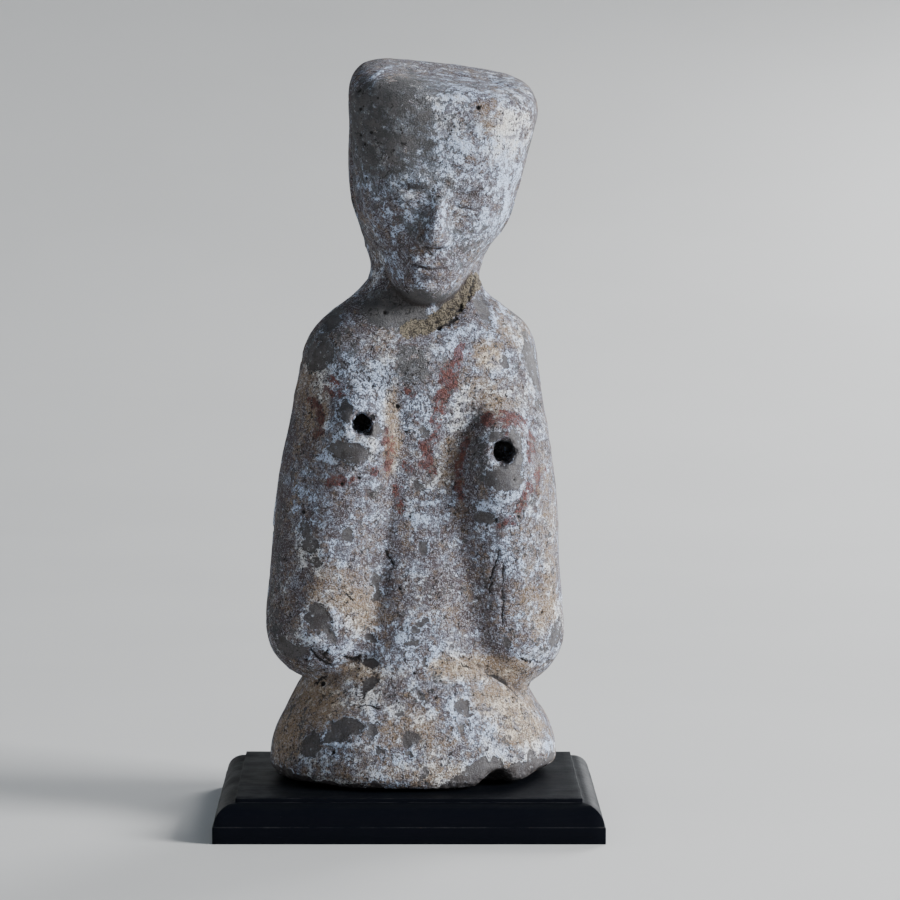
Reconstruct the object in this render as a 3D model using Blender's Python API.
"""Pottery tomb figure, a kneeling attendant, on its black wooden stand.

Metres, +Z up. The origin is the centre of the stand's underside and the figure faces -Y.
"""
import math

import bmesh
import bpy
import numpy as np

# Stand: a board with a quarter-round moulding between a top plate and a bottom band
PLATE_WIDTH = 0.143
PLATE_DEPTH = 0.115
PLATE_STEP = 0.0017
MOULDING_RADIUS = 0.0087
MOULDING_FILLET = 0.0005
MOULDING_SEGMENTS = 8
BAND_HEIGHT = 0.007
STAND_HEIGHT = BAND_HEIGHT + MOULDING_RADIUS + PLATE_STEP
SHARP_ANGLE = math.radians(30.0)
PAINT_COLOUR = (0.012, 0.014, 0.018)
PAINT_ROUGHNESS = 0.45

# Figure: its forms are in units, which are shares of its height, a millimetre each at this size
FIGURE_HEIGHT = 0.303
UNITS_HIGH = 303.0
UNIT = FIGURE_HEIGHT / UNITS_HIGH
SEAT_GAP = 0.0003
FIGURE_OFFSET = 0.0033
CLAY_COLOUR = (0.42, 0.38, 0.35)
CLAY_ROUGHNESS = 0.9

# Sockets bored in the fists for the shafts that the attendant once held
SOCKET_BORE = 0.0084
SOCKET_DEPTH = 0.023
SOCKET_SIDES = 24
CUTTER_PROUD = 0.02

# Fineness of the figure's surface, and the spine that its skin is wrapped round
AROUND = 132
UPWARDS = 168
RELAXING_PASSES = 40
SETTLING_STEPS = 4
FIGURE_TRIANGLES = 9300
SPINE_FOOT = np.array((0.0, 8.0, 28.0))
SPINE_CROWN = np.array((10.0, -4.0, 262.0))
FAN_SHARE = 0.2
SEARCH_FROM = 130.0
SEARCH_STEPS = 260
SLOPE_REACH = 0.05
LEAST_STEEPNESS = 0.2
LEAST_SLOPE = 1e-9

# Body, turned a little to the viewer's right; left and right are the viewer's
BODY_TURN = math.radians(6.0)
TRUNK_FOOT = np.array((1.0, 6.0, 56.0))
TRUNK_TOP = np.array((1.0, 6.0, 164.0))
TRUNK_RADII = (32.0, 27.5)
SHOULDERS = {"left": np.array((-25.0, 5.0, 176.0)), "right": np.array((28.5, 5.0, 177.5))}
ELBOWS = {"left": np.array((-41.2, 3.0, 65.5)), "right": np.array((40.0, 3.0, 61.5))}
SHOULDER_RADIUS = 23.0
ELBOW_RADIUS = 22.5
SLEEVE_BULGE = 3.0
SLEEVE_DEPTH_RATIO = 1.12
CROOK_INSET = np.array((0.92, 1.0, 1.0))
CROOK_FORWARD = np.array((0.0, -6.0, 0.0))
CROOK_RADIUS = 19.0
WRIST_BACK = np.array((0.0, 5.0, -6.0))
WRIST_RADIUS = 12.5
FISTS = {"left": np.array((-26.8, -20.5, 148.5)), "right": np.array((32.0, -22.5, 134.0))}
FIST_SIZES = {"left": np.array((10.5, 12.5, 15.5)), "right": np.array((12.5, 14.0, 22.5))}
SOCKET_HEIGHTS = {"left": 152.2, "right": 140.6}

# How softly the forms run together, in front and behind
CHEST_BLEND = 8.0
BACK_BLEND = 26.0
BLEND_CHANGE = (-6.0, 24.0)
FOREARM_BLEND = 14.0
FIST_BLEND = 9.0
WAIST_BLEND = 26.0
ELBOW_CREASE_BLEND = 5.0

# Neck and the slope of the shoulders
NECK_FOOT = np.array((0.0, 8.5, 179.0))
NECK_TOP = np.array((2.5, 10.5, 218.0))
NECK_RADII = (31.0, 23.5)
NECK_BLEND = 19.0

# Lap, haunches and heels
LAP_CENTRE = np.array((-0.8, 5.0, 6.0))
LAP_SIZE = np.array((61.5, 51.0, 48.0))
HAUNCH_CENTRE = np.array((0.0, 23.0, 30.0))
HAUNCH_SIZE = np.array((48.0, 27.0, 27.0))
HAUNCH_BLEND = 12.0
HEEL_CENTRE = np.array((21.0, 34.0, 10.0))
HEEL_SIZE = np.array((22.0, 21.0, 15.0))
HEEL_BLEND = 6.0
SIDES = np.array((-1.0, 1.0))

# Worn round edge of the underside, and breaks along the hem at the front right
FOOT_BLEND = 5.0
HEM_BITE_CENTRE = np.array((29.5, -38.0, -1.0))
HEM_BITE_SIZE = np.array((7.0, 13.0, 8.0))
HEM_SCAR_CENTRE = np.array((58.0, -17.0, -3.0))
HEM_SCAR_SIZE = np.array((19.0, 22.0, 8.0))
BREAK_BLEND = 2.0

# Head, bowed and leaning to the viewer's right; its own frame starts at the level of the chin
HEAD_FOOT = np.array((1.5, 9.0, 206.0))
HEAD_TURN = math.radians(3.0)
HEAD_BOW = math.radians(11.0)
HEAD_LEAN = math.radians(6.5)
HEAD_BLEND = 5.0
HAIR_CENTRE = np.array((-1.0, 2.0, 61.0))
HAIR_HALVES = np.array((36.2, 33.0, 31.0))
HAIR_WIDENING = 0.12
HAIR_SQUARENESS = 3.1
HAIR_RIM = 12.5
SKULL_CENTRE = np.array((-0.5, 2.0, 42.0))
SKULL_SIZE = np.array((30.5, 34.5, 36.0))
SKULL_BLEND = 16.0
NAPE_TOP = np.array((0.0, 14.0, 46.0))
NAPE_FOOT = np.array((0.0, 10.0, 6.0))
NAPE_RADII = (24.0, 17.0)

# Face, plain and calm: eyes halfway up the head, nose and mouth in thirds below them
HEAD_HEIGHT = 92.0
FACE_FRONT = -30.0
EYE_LEVEL = HEAD_HEIGHT / 2.0
NOSE_LEVEL = EYE_LEVEL * 0.6
MOUTH_LEVEL = NOSE_LEVEL * 2.0 / 3.0
CHEEK_CENTRE = np.array((0.0, FACE_FRONT + 25.0, EYE_LEVEL - 3.0))
CHIN_CENTRE = np.array((0.0, FACE_FRONT + 13.0, 15.0))
FACE_RADII = (26.0, 15.5)
EYE_PLACE = np.array((13.0, FACE_FRONT - 4.0, EYE_LEVEL + 1.0))
EYE_HOLLOW_SIZE = np.array((9.5, 6.0, 6.5))
LID_PLACE = np.array((13.0, FACE_FRONT + 6.5, EYE_LEVEL))
LID_SIZE = np.array((7.5, 6.0, 4.5))
NOSE_BRIDGE = np.array((0.0, FACE_FRONT + 2.0, EYE_LEVEL + 4.0))
NOSE_TIP = np.array((0.0, FACE_FRONT - 2.0, NOSE_LEVEL + 3.5))
NOSE_RADII = (2.5, 4.2)
LIP_PLACE = np.array((0.0, FACE_FRONT + 7.5, MOUTH_LEVEL))
LIP_SIZE = np.array((10.0, 7.0, 4.5))
FEATURE_BLEND = 3.0
FACE_BLEND = 8.0


def clear_scene():
    """Remove every object that the scene starts with."""
    for item in list(bpy.data.objects):
        bpy.data.objects.remove(item, do_unlink=True)


def new_collection(name):
    """Make a collection in the scene."""
    collection = bpy.data.collections.new(name)
    bpy.context.scene.collection.children.link(collection)
    return collection


def new_material(name, colour, roughness):
    """Make a plain non-metal material."""
    material = bpy.data.materials.new(name)
    material.use_nodes = True
    shader = material.node_tree.nodes["Principled BSDF"]
    shader.inputs["Base Color"].default_value = (*colour, 1.0)
    shader.inputs["Roughness"].default_value = roughness
    shader.inputs["Metallic"].default_value = 0.0
    return material


def turn_about_z(angle):
    """Rotation matrix about the upright axis."""
    c, s = math.cos(angle), math.sin(angle)
    return np.array(((c, -s, 0.0), (s, c, 0.0), (0.0, 0.0, 1.0)))


def turn_about_x(angle):
    """Rotation matrix about the axis from side to side."""
    c, s = math.cos(angle), math.sin(angle)
    return np.array(((1.0, 0.0, 0.0), (0.0, c, -s), (0.0, s, c)))


def turn_about_y(angle):
    """Rotation matrix about the axis from front to back."""
    c, s = math.cos(angle), math.sin(angle)
    return np.array(((c, 0.0, s), (0.0, 1.0, 0.0), (-s, 0.0, c)))


BODY_FRAME = turn_about_z(BODY_TURN)
HEAD_FRAME = turn_about_y(HEAD_LEAN) @ turn_about_z(HEAD_TURN) @ turn_about_x(HEAD_BOW)


def ball(points, centre, radii):
    """Signed distance, near enough, to an ellipsoid."""
    scaled = (points - centre) / radii
    length = np.linalg.norm(scaled, axis=1)
    slope = np.linalg.norm(scaled / radii, axis=1) + LEAST_SLOPE
    return length * (length - 1.0) / slope


def limb(points, start, end, radii, bulge=0.0, depth_ratio=1.0):
    """Signed distance to a tapering round limb, fuller at its middle, deeper or flatter than round."""
    squash = np.array((1.0, 1.0 / depth_ratio, 1.0))
    run = (end - start) * squash
    offset = (points - start) * squash
    along = np.clip(offset @ run / (run @ run), 0.0, 1.0)
    radius = radii[0] + (radii[1] - radii[0]) * along + bulge * np.sin(along * math.pi) ** 2
    return np.linalg.norm(offset - along[:, None] * run, axis=1) - radius


def join(first, second, blend):
    """Smooth union of two signed distances."""
    share = np.clip(0.5 + 0.5 * (second - first) / blend, 0.0, 1.0)
    return second + (first - second) * share - blend * share * (1.0 - share)


def cut(form, tool, blend):
    """Smooth cut of one signed distance by another."""
    return -join(-form, tool, blend)


def drum(points, centre, halves, widening, squareness, rim):
    """Signed distance, near enough, to a squarish drum that widens as it rises, with a soft rim."""
    offset = points - centre
    height_share = np.clip(offset[:, 2:] / halves[2], -1.0, 1.0)
    shares = np.abs(offset[:, :2]) / (halves[:2] * (1.0 + widening * height_share))
    across = (shares ** squareness).sum(axis=1) ** (1.0 / squareness)
    side = (across - 1.0) * halves[:2].mean()
    return cut(side, halves[2] - np.abs(offset[:, 2]), rim)


def sleeve_form(points, name):
    """One arm: sleeve from shoulder to elbow, forearm folded up the chest, and fist."""
    elbow, fist = ELBOWS[name], FISTS[name]
    radii = (SHOULDER_RADIUS, ELBOW_RADIUS)
    upper = limb(points, SHOULDERS[name], elbow, radii, SLEEVE_BULGE, SLEEVE_DEPTH_RATIO)
    crook = elbow * CROOK_INSET + CROOK_FORWARD
    forearm = limb(points, crook, fist + WRIST_BACK, (CROOK_RADIUS, WRIST_RADIUS))
    form = join(upper, forearm, FOREARM_BLEND)
    return join(form, ball(points, fist, FIST_SIZES[name]), FIST_BLEND)


def lap_form(points):
    """Folded legs under the robe: lap in front, haunches and two heels behind."""
    form = ball(points, LAP_CENTRE, LAP_SIZE)
    form = join(form, ball(points, HAUNCH_CENTRE, HAUNCH_SIZE), HAUNCH_BLEND)
    for side in SIDES:
        centre = HEEL_CENTRE * np.array((side, 1.0, 1.0))
        form = join(form, ball(points, centre, HEEL_SIZE), HEEL_BLEND)
    return form


def body_form(points):
    """Kneeling body in its own frame, with creases only where the elbows meet the lap."""
    trunk = limb(points, TRUNK_FOOT, TRUNK_TOP, TRUNK_RADII)
    lower = join(trunk, lap_form(points), WAIST_BLEND)
    sleeve_blend = np.interp(points[:, 1], BLEND_CHANGE, (CHEST_BLEND, BACK_BLEND))
    upper = trunk
    for name in FISTS:
        upper = join(upper, sleeve_form(points, name), sleeve_blend)
    form = join(upper, lower, ELBOW_CREASE_BLEND)
    form = cut(form, ball(points, HEM_BITE_CENTRE, HEM_BITE_SIZE), BREAK_BLEND)
    return cut(form, ball(points, HEM_SCAR_CENTRE, HEM_SCAR_SIZE), BREAK_BLEND)


def face_form(points):
    """Plain face: a tapering oval with brow, nose, lips and chin in low relief."""
    form = limb(points, CHEEK_CENTRE, CHIN_CENTRE, FACE_RADII)
    for side in SIDES:
        mirror = np.array((side, 1.0, 1.0))
        form = cut(form, ball(points, EYE_PLACE * mirror, EYE_HOLLOW_SIZE), FEATURE_BLEND)
        form = join(form, ball(points, LID_PLACE * mirror, LID_SIZE), FEATURE_BLEND)
    form = join(form, limb(points, NOSE_BRIDGE, NOSE_TIP, NOSE_RADII), FEATURE_BLEND)
    return join(form, ball(points, LIP_PLACE, LIP_SIZE), FEATURE_BLEND)


def head_form(points):
    """Head in its own frame, from its chin up to the flat top of its hair."""
    form = drum(points, HAIR_CENTRE, HAIR_HALVES, HAIR_WIDENING, HAIR_SQUARENESS, HAIR_RIM)
    form = join(form, ball(points, SKULL_CENTRE, SKULL_SIZE), SKULL_BLEND)
    form = join(form, limb(points, NAPE_TOP, NAPE_FOOT, NAPE_RADII), SKULL_BLEND)
    return join(form, face_form(points), FACE_BLEND)


def figure_form(points):
    """Whole figure above the top of the stand."""
    form = body_form(points @ BODY_FRAME)
    form = join(form, limb(points, NECK_FOOT, NECK_TOP, NECK_RADII), NECK_BLEND)
    form = join(form, head_form((points - HEAD_FOOT) @ HEAD_FRAME), HEAD_BLEND)
    return cut(form, points[:, 2], FOOT_BLEND)


def rays_from_spine(mesh):
    """A ray for each vertex of a unit sphere: level along the spine, fanned out at foot and crown."""
    places = np.array([vertex.co[:] for vertex in mesh.verts])
    polar = np.arccos(np.clip(-places[:, 2], -1.0, 1.0)) / math.pi
    azimuth = np.arctan2(places[:, 1], places[:, 0])
    along = np.clip((polar - FAN_SHARE) / (1.0 - 2.0 * FAN_SHARE), 0.0, 1.0)
    origins = SPINE_FOOT + along[:, None] * (SPINE_CROWN - SPINE_FOOT)
    below = np.clip(1.0 - polar / FAN_SHARE, 0.0, 1.0)
    above = np.clip(1.0 - (1.0 - polar) / FAN_SHARE, 0.0, 1.0)
    rise = (above - below) * math.pi / 2.0
    level = np.cos(rise)
    directions = np.stack((level * np.cos(azimuth), level * np.sin(azimuth), np.sin(rise)), axis=1)
    return origins, directions


def outermost_crossing(origins, directions):
    """Walk each ray inward until it meets the figure's surface."""
    reach = np.full(len(origins), SEARCH_FROM)
    step = SEARCH_FROM / SEARCH_STEPS
    found = np.zeros(len(origins), dtype=bool)
    for _ in range(SEARCH_STEPS):
        found |= figure_form(origins + directions * reach[:, None]) <= 0.0
        reach = np.where(found, reach, reach - step)
    return origins + directions * reach[:, None]


def settle_on_surface(points):
    """Move points one step along the form's slope, towards its surface."""
    slope = np.empty_like(points)
    for axis, shift in enumerate(np.eye(3) * SLOPE_REACH):
        slope[:, axis] = figure_form(points + shift) - figure_form(points - shift)
    slope /= 2.0 * SLOPE_REACH
    steepness = np.maximum((slope ** 2).sum(axis=1), LEAST_STEEPNESS)
    return points - slope * (figure_form(points) / steepness)[:, None]


def figure_skin():
    """Wrap a sphere's grid of faces round the figure's form and even it out over the hollows."""
    skin = bmesh.new()
    bmesh.ops.create_uvsphere(skin, u_segments=AROUND, v_segments=UPWARDS, radius=1.0)
    skin.verts.index_update()
    points = outermost_crossing(*rays_from_spine(skin))
    ends = np.array([[end.index for end in edge.verts] for edge in skin.edges])
    neighbour_count = np.bincount(ends.ravel())[:, None]
    for _ in range(RELAXING_PASSES):
        total = np.zeros_like(points)
        np.add.at(total, ends[:, 0], points[ends[:, 1]])
        np.add.at(total, ends[:, 1], points[ends[:, 0]])
        points = settle_on_surface(0.5 * (points + total / neighbour_count))
    for _ in range(SETTLING_STEPS):
        points = settle_on_surface(points)
    for vertex, place in zip(skin.verts, points):
        vertex.co = place * UNIT
    return skin


def add_socket_cutter(name, collection, figure):
    """A hidden cylinder that bores one fist's socket straight in from the front."""
    fist = FISTS[name]
    knuckles = fist - np.array((0.0, FIST_SIZES[name][1], 0.0))
    mouth = BODY_FRAME @ knuckles * UNIT
    depth = SOCKET_DEPTH + CUTTER_PROUD
    bpy.ops.mesh.primitive_cylinder_add(vertices=SOCKET_SIDES, radius=SOCKET_BORE / 2.0, depth=depth)
    cutter = bpy.context.object
    cutter.name = "socket_cutter_" + name
    cutter.rotation_euler = (math.pi / 2.0, 0.0, 0.0)
    cutter.location = (mouth[0], mouth[1] + SOCKET_DEPTH - depth / 2.0, SOCKET_HEIGHTS[name] * UNIT)
    cutter.hide_render = True
    cutter.display_type = "WIRE"
    for owner in list(cutter.users_collection):
        owner.objects.unlink(cutter)
    collection.objects.link(cutter)
    cutter.parent = figure
    return cutter


def build_figure(parts, cutters):
    """The fired clay figure, with both fists bored."""
    skin = figure_skin()
    bmesh.ops.triangulate(skin, faces=skin.faces)
    full_count = len(skin.faces)
    mesh = bpy.data.meshes.new("pottery_figure")
    skin.to_mesh(mesh)
    skin.free()
    mesh.materials.append(new_material("slipped grey clay", CLAY_COLOUR, CLAY_ROUGHNESS))
    mesh.shade_smooth()
    figure = bpy.data.objects.new("pottery_figure", mesh)
    parts.objects.link(figure)
    figure.location = (FIGURE_OFFSET, 0.0, STAND_HEIGHT + SEAT_GAP)
    thinning = figure.modifiers.new("thin out", "DECIMATE")
    thinning.ratio = FIGURE_TRIANGLES / full_count
    for name in FISTS:
        boring = figure.modifiers.new("bore " + name, "BOOLEAN")
        boring.operation = "DIFFERENCE"
        boring.solver = "EXACT"
        boring.object = add_socket_cutter(name, cutters, figure)
    return figure


def new_faces(extruded):
    """The faces among an extrusion's results."""
    return [item for item in extruded["geom"] if isinstance(item, bmesh.types.BMFace)]


def build_stand(parts):
    """The stand: a band, then its quarter-round and its plate drawn inward from the top face."""
    board = bmesh.new()
    overhang = MOULDING_FILLET + MOULDING_RADIUS
    bmesh.ops.create_grid(board, x_segments=1, y_segments=1, size=0.5)
    size = (PLATE_WIDTH + 2.0 * overhang, PLATE_DEPTH + 2.0 * overhang, 1.0)
    bmesh.ops.scale(board, vec=size, verts=board.verts)
    top = new_faces(bmesh.ops.extrude_face_region(board, geom=board.faces[:], use_keep_orig=True))
    bmesh.ops.translate(board, vec=(0.0, 0.0, BAND_HEIGHT), verts=top[0].verts)
    bmesh.ops.inset_region(board, faces=top, thickness=MOULDING_FILLET, use_even_offset=True)
    angles = [math.pi / 2.0 * step / MOULDING_SEGMENTS for step in range(MOULDING_SEGMENTS + 1)]
    for lower, upper in zip(angles, angles[1:]):
        inward = MOULDING_RADIUS * (math.cos(lower) - math.cos(upper))
        rise = MOULDING_RADIUS * (math.sin(upper) - math.sin(lower))
        bmesh.ops.inset_region(board, faces=top, thickness=inward, use_even_offset=True)
        bmesh.ops.translate(board, vec=(0.0, 0.0, rise), verts=top[0].verts)
    plate = new_faces(bmesh.ops.extrude_face_region(board, geom=top))
    bmesh.ops.translate(board, vec=(0.0, 0.0, PLATE_STEP), verts=plate[0].verts)
    bmesh.ops.delete(board, geom=top, context="FACES_ONLY")
    bmesh.ops.recalc_face_normals(board, faces=board.faces)
    mesh = bpy.data.meshes.new("wood_stand")
    board.to_mesh(mesh)
    board.free()
    mesh.materials.append(new_material("black painted wood", PAINT_COLOUR, PAINT_ROUGHNESS))
    mesh.shade_smooth()
    mesh.set_sharp_from_angle(angle=SHARP_ANGLE)
    stand = bpy.data.objects.new("wood_stand", mesh)
    parts.objects.link(stand)
    return stand


def main():
    """Build the figure on its stand."""
    clear_scene()
    parts = new_collection("pottery tomb figure")
    cutters = new_collection("socket cutters")
    build_stand(parts)
    build_figure(parts, cutters)
    bpy.context.view_layer.update()


main()
